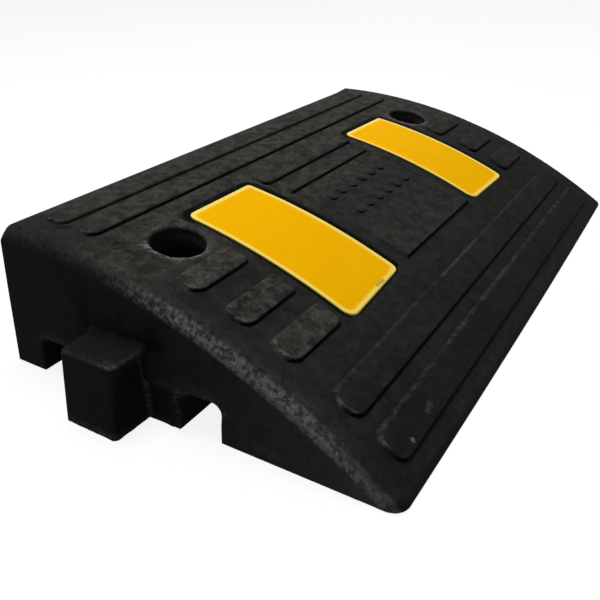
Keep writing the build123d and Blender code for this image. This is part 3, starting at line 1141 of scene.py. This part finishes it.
# Single scuffs and stains: both ends in millimetres, half width, strength and colour
PALE, DARK = (0.2, 0.195, 0.185), (0.003, 0.003, 0.003)
SCUFFS = (
    ((-213, 25.5, 93.7), (-200, 12.1, 91.4), 2 * MM, 0.55, DARK),
    ((-209.9, -181.3, 16.2), (-209.3, -181.3, 16.2), 2 * MM, 0.6, PALE),
    ((-176, -177.2, 18.9), (-183, -178.8, 17.9), 2.4 * MM, 0.14, PALE),
    ((-249.3, -104, 8), (-249.2, -116, 7), 4 * MM, 0.1, PALE),
    ((-222.1, 76.9, 101.7), (-219, 80, 101.9), 2.6 * MM, 0.75, DARK),
    ((-221.3, 69, 98.7), (-216, 64, 98.3), 2.4 * MM, 0.7, DARK),
    ((-211, 50.5, 97), (-208, 46, 96.6), 2 * MM, 0.7, DARK),
    ((-150.0, 49.1, 99.4), (-136.8, 56.1, 100.1), 2 * MM, 0.08, PALE),
    ((-60, -137.5, 42.2), (15, -137.5, 42.2), 2 * MM, 0.12, PALE),
)


def rubber_paint(colours, slope):
    """Black moulded rubber: dust ground in unevenly where the dust mark is high, pale specks and
    dark pits, dirt along the foot of a step, torn pale crumb where the wear mark is high, and a
    scraped band on the ends a little below the slope."""
    paint = new_paint("black_rubber")
    broad, patch, grain, crumb = (
        paint.noise(waves, detail, 0.6) for waves, detail in ((20, 3), (110, 3), (300, 2), (620, 2))
    )
    dust, wear, edge, foot, shade_and_darkening, smooth, scrape = (
        paint.mark(name) for name in ("dust", "wear", "edge", "foot", "shade_and_darkening", "smooth", "scrape")
    )
    uneven = 1 - smooth * 0.7
    clouds = paint.between(broad, 0.35, 0.65) * 0.2 + paint.between(patch, 0.36, 0.64) * 0.5
    clouds = clouds + paint.between(grain, 0.42, 0.62) * 0.3
    tone = paint.between(patch, 0.3, 0.7) * 0.6 + paint.between(broad, 0.35, 0.65) * 0.4
    base = paint.mix(tone, dimmed(colours.rubber, 0.82), dimmed(colours.rubber, 1.18))
    base = paint.mix((clouds * uneven + smooth * 0.35) * dust, base, colours.dusty)
    pale = paint.between(crumb, 0.58, 0.72) * paint.between(patch, 0.45, 0.6) * uneven
    base = paint.mix(pale * (dust * 0.35 + 0.05), base, colours.crumb)
    pits = (1 - paint.between(crumb, 0.3, 0.42)) * 0.5
    blots = paint.between(grain, 0.56, 0.68) * paint.between(broad, 0.46, 0.6) * dust * 0.6
    base = paint.mix((pits + blots) * uneven, base, dimmed(colours.rubber, 0.3))
    specks = paint.between(grain, 0.4, 0.6) * 0.7 + paint.between(crumb, 0.4, 0.65) * 0.18 + 0.12
    ragged = grain * 2.4 - 1.2
    across = paint.vector("MULTIPLY", paint.place(), (0, 1, 1))
    below = slope.radius - paint.vector("DISTANCE", across, (0, slope.kerb, slope.axis_z), "Value")
    below = below + ragged * 0.6 * MM
    scraped = paint.between(below, 3.5 * MM, 6 * MM) * scrape
    scraped = scraped * (1 - paint.between(below, 8 * MM, 11.5 * MM))
    # pale crumb for wear and the scraped band, and as a painted highlight on the bars' upper edges
    worn = specks * (wear + scraped + edge * paint.between(patch, 0.36, 0.6))
    base = paint.mix(worn * colours.wear, base, colours.crumb)
    for first, second, width, strength, tint in SCUFFS:
        off = paint.stroke(first, second) + ragged * width
        base = paint.mix((1 - paint.between(off, width * 0.4, width)) * strength, base, tint)
    # painted shadow at the feet of steps and painted shade round the tongue, mixed towards near
    # black
    line = paint.between(foot + grain * 0.6 - 0.3, 0.2, 0.75)
    line = line * (paint.between(patch, 0.3, 0.55) * 0.4 + 0.6)
    base = paint.mix(line + shade_and_darkening, base, dimmed(colours.rubber, 0.06))
    rough = crumb * 0.16 + wear * 0.1 + 0.66
    normal = paint.bump(crumb * 0.5 + grain * 0.5, 0.25 * MM, 0.4)
    normal = paint.bump(grain * wear, 0.8 * MM, 0.5, normal)
    return paint.finish(
        {"Base Color": base, "Roughness": rough, "Normal": normal, "Specular IOR Level": 0.015}
    )


WARM_YELLOW, GRIMY_YELLOW, BARE_SHEET = (0.93, 0.49, 0.001), (0.56, 0.26, 0.001), (0.2, 0.16, 0.08)
CHAFED_EDGE = ((-115, -112.4, 52.4), (-106, -112.4, 52.4))  # both ends, in millimetres


def sheet_paint(colours, rim_width):
    """Yellow reflective sheet with a pale sealed rim, a faint mottle and a little grime."""
    paint = new_paint("yellow_sheet")
    cloud = paint.noise(45, 2, 0.55)
    grime = paint.noise(260, 3, 0.6)
    base = paint.mix(paint.between(cloud, 0.3, 0.7) * 0.5, colours.yellow, WARM_YELLOW)
    base = paint.mix(paint.between(grime, 0.62, 0.8) * 0.25, base, GRIMY_YELLOW)
    rim = 1 - paint.between(paint.mark("inset"), rim_width * 0.6, rim_width * 1.3)
    base = paint.mix(rim * 0.85, base, colours.rim)
    off = paint.stroke(*CHAFED_EDGE) + (grime - 0.5) * 4 * MM
    base = paint.mix(0.6 - paint.between(off, 0.3 * MM, 1.6 * MM) * 0.6, base, BARE_SHEET)
    rough = 0.42 + grime * 0.12
    normal = paint.bump(paint.noise(900, 1, 0.5), 0.06 * MM, 0.3)
    return paint.finish(
        {"Base Color": base, "Roughness": rough, "Normal": normal, "Specular IOR Level": 0.004}
    )


def adhesive_paint(colours):
    """Dark rubbery adhesive with a dull, uneven face."""
    paint = new_paint("adhesive")
    lumps = paint.noise(400, 2, 0.5)
    base = paint.mix(lumps, colours.adhesive, dimmed(colours.adhesive, 0.5))
    normal = paint.bump(lumps, 0.3 * MM, 0.5)
    return paint.finish({"Base Color": base, "Roughness": 0.6 + lumps * 0.2, "Normal": normal})


WHITE = (1, 1, 1, 1)
FLOOR_GLOW = 0.87  # brightness of the floor where it is seen
FLOOR_REACH = 6.0
FLOOR_DROP = 0.2 * MM  # keeps the floor off the underside
BACKDROP_LIGHT = 0.28  # what the backdrop gives to surfaces; to the camera it is 1
SOFTBOX = {"place": (0.1, 0.4, 2.15), "target": (0, 0, 0.03), "width": 0.9, "power": 35}

# The photograph's camera, as fitted to the block's edges
CAMERA_PLACE = (-0.4827, -0.2863, 0.2647)
CAMERA_RIGHT = (0.527, -0.8493, -0.0306)
CAMERA_UP = (0.4233, 0.2311, 0.876)
CAMERA_BACK = (-0.737, -0.4746, 0.4813)
CAMERA_SENSOR, CAMERA_LENS = 36, 40.3


def floor_paint(colours):
    """Pale floor: dull grey to the object, and close to white where the camera or a reflection
    sees it, so that it still takes the object's shadow."""
    paint = new_paint("floor")
    dull = paint.node("ShaderNodeBsdfDiffuse", None, {"Color": (*colours.floor, 1.0)})
    glow = {"Color": WHITE, "Strength": paint.seen() * FLOOR_GLOW}
    bright = paint.node("ShaderNodeEmission", None, glow)
    both_parts = paint.node("ShaderNodeAddShader", None, {0: dull, 1: bright})
    paint.node("ShaderNodeOutputMaterial", None, {"Surface": both_parts})
    return paint.owner


class RAMP_OT_block(bpy.types.Operator):
    """Makes the moulded rubber block in place of its solid"""

    bl_idname = "kerb_ramp.block"
    bl_label = "Rubber block"

    def execute(self, context):
        block = Block(context.scene)
        points, faces, marks = block.skin()
        paint = rubber_paint(context.scene.ramp_colours, block.slope)
        new_piece("rubber_block", points, faces, marks, "black_rubber", paint, BLOCK_NODE)
        return {"FINISHED"}


class RAMP_OT_reflectors(bpy.types.Operator):
    """Makes the two reflective sheets and the beds of adhesive under them"""

    bl_idname = "kerb_ramp.reflectors"
    bl_label = "Reflective sheets"

    def execute(self, context):
        scene = context.scene
        block = Block(scene)
        reflector = scene.ramp_reflector
        back = reflector.proud - reflector.thickness
        paint = sheet_paint(scene.ramp_colours, reflector.rim)
        bed = adhesive_paint(scene.ramp_colours)
        for sheet, adhesive, side in zip(SHEET_NODES, ADHESIVE_NODES, (-1, 1)):
            skin = sheet_skin(block, side, back, reflector.proud, reflector.edge)
            new_piece(sheet.replace("_sheet", "_reflector"), *skin, "yellow_sheet", paint, sheet)
            skin = sheet_skin(block, side, -reflector.pocket, back, BACK_EDGE)
            new_piece(adhesive.replace("_adhesive", "_bed"), *skin, "adhesive", bed, adhesive)
        return {"FINISHED"}


class RAMP_OT_studio(bpy.types.Operator):
    """Makes the floor, the light, the backdrop and the camera"""

    bl_idname = "kerb_ramp.studio"
    bl_label = "Studio"

    def execute(self, context):
        scene = context.scene
        scene.view_settings.view_transform = "Standard"
        mesh = bpy.data.meshes.new("floor")
        turns = ((-1, -1), (1, -1), (1, 1), (-1, 1))
        corners = [(x * FLOOR_REACH, y * FLOOR_REACH, 0) for x, y in turns]
        mesh.from_pydata(corners, [], [(0, 1, 2, 3)])
        floor = bpy.data.objects.new("floor", mesh)
        floor.location.z = -FLOOR_DROP
        scene.collection.objects.link(floor)
        mesh.materials.append(floor_paint(scene.ramp_colours))
        self.backdrop(scene)
        self.lamp(scene, "softbox", **SOFTBOX)
        self.camera(scene)
        return {"FINISHED"}

    def backdrop(self, scene):
        """White to the camera and to reflections, and a low even light to everything else."""
        scene.world = bpy.data.worlds.new("backdrop")
        paint = Paint(scene.world)
        strength = paint.seen() * (1 - BACKDROP_LIGHT) + BACKDROP_LIGHT
        back = paint.node("ShaderNodeBackground", None, {"Color": WHITE, "Strength": strength})
        paint.node("ShaderNodeOutputWorld", None, {"Surface": back})

    def lamp(self, scene, name, place, target, width, power):
        """A square softbox that faces a target."""
        light = bpy.data.lights.new(name, "AREA")
        light.size = width
        light.energy = power
        lamp = bpy.data.objects.new(name, light)
        lamp.location = place
        aim = Vector(target) - lamp.location
        lamp.rotation_euler = aim.to_track_quat("-Z", "Y").to_euler()
        scene.collection.objects.link(lamp)

    def camera(self, scene):
        """A camera with the photograph's place, direction and field of view."""
        lens = bpy.data.cameras.new("camera")
        lens.sensor_width = CAMERA_SENSOR
        lens.lens = CAMERA_LENS
        camera = bpy.data.objects.new("camera", lens)
        turn = Matrix((CAMERA_RIGHT, CAMERA_UP, CAMERA_BACK)).transposed().to_4x4()
        camera.matrix_world = Matrix.Translation(CAMERA_PLACE) @ turn
        scene.collection.objects.link(camera)
        scene.camera = camera


class RAMP_PT_panel(bpy.types.Panel):
    """Lists the operators with the sizes and colours that they read"""

    bl_idname = "RAMP_PT_panel"
    bl_label = "Kerb ramp"
    bl_space_type = "VIEW_3D"
    bl_region_type = "UI"
    bl_category = "Kerb ramp"

    def draw(self, context):
        for operator in OPERATORS:
            self.layout.operator(operator.bl_idname)
        for name, group in GROUPS.items():
            column = self.layout.column(heading=group.__doc__)
            for key in group.__annotations__:
                column.prop(getattr(context.scene, name), key)


GROUPS = {
    "ramp_block": BlockSizes,
    "ramp_grip": GripSizes,
    "ramp_join": JoinSizes,
    "ramp_reflector": ReflectorSizes,
    "ramp_colours": Colours,
}
OPERATORS = (RAMP_OT_block, RAMP_OT_reflectors, RAMP_OT_studio)


def register():
    for kind in (*GROUPS.values(), *OPERATORS, RAMP_PT_panel):
        bpy.utils.register_class(kind)
    for name, group in GROUPS.items():
        setattr(bpy.types.Scene, name, bpy.props.PointerProperty(type=group))


def unregister():
    for name in GROUPS:
        delattr(bpy.types.Scene, name)
    for kind in (RAMP_PT_panel, *OPERATORS, *GROUPS.values()):
        bpy.utils.unregister_class(kind)


def main():
    register()
    bpy.ops.kerb_ramp.block()
    bpy.ops.kerb_ramp.reflectors()
    bpy.ops.kerb_ramp.studio()


if __name__ == "__main__":
    main()
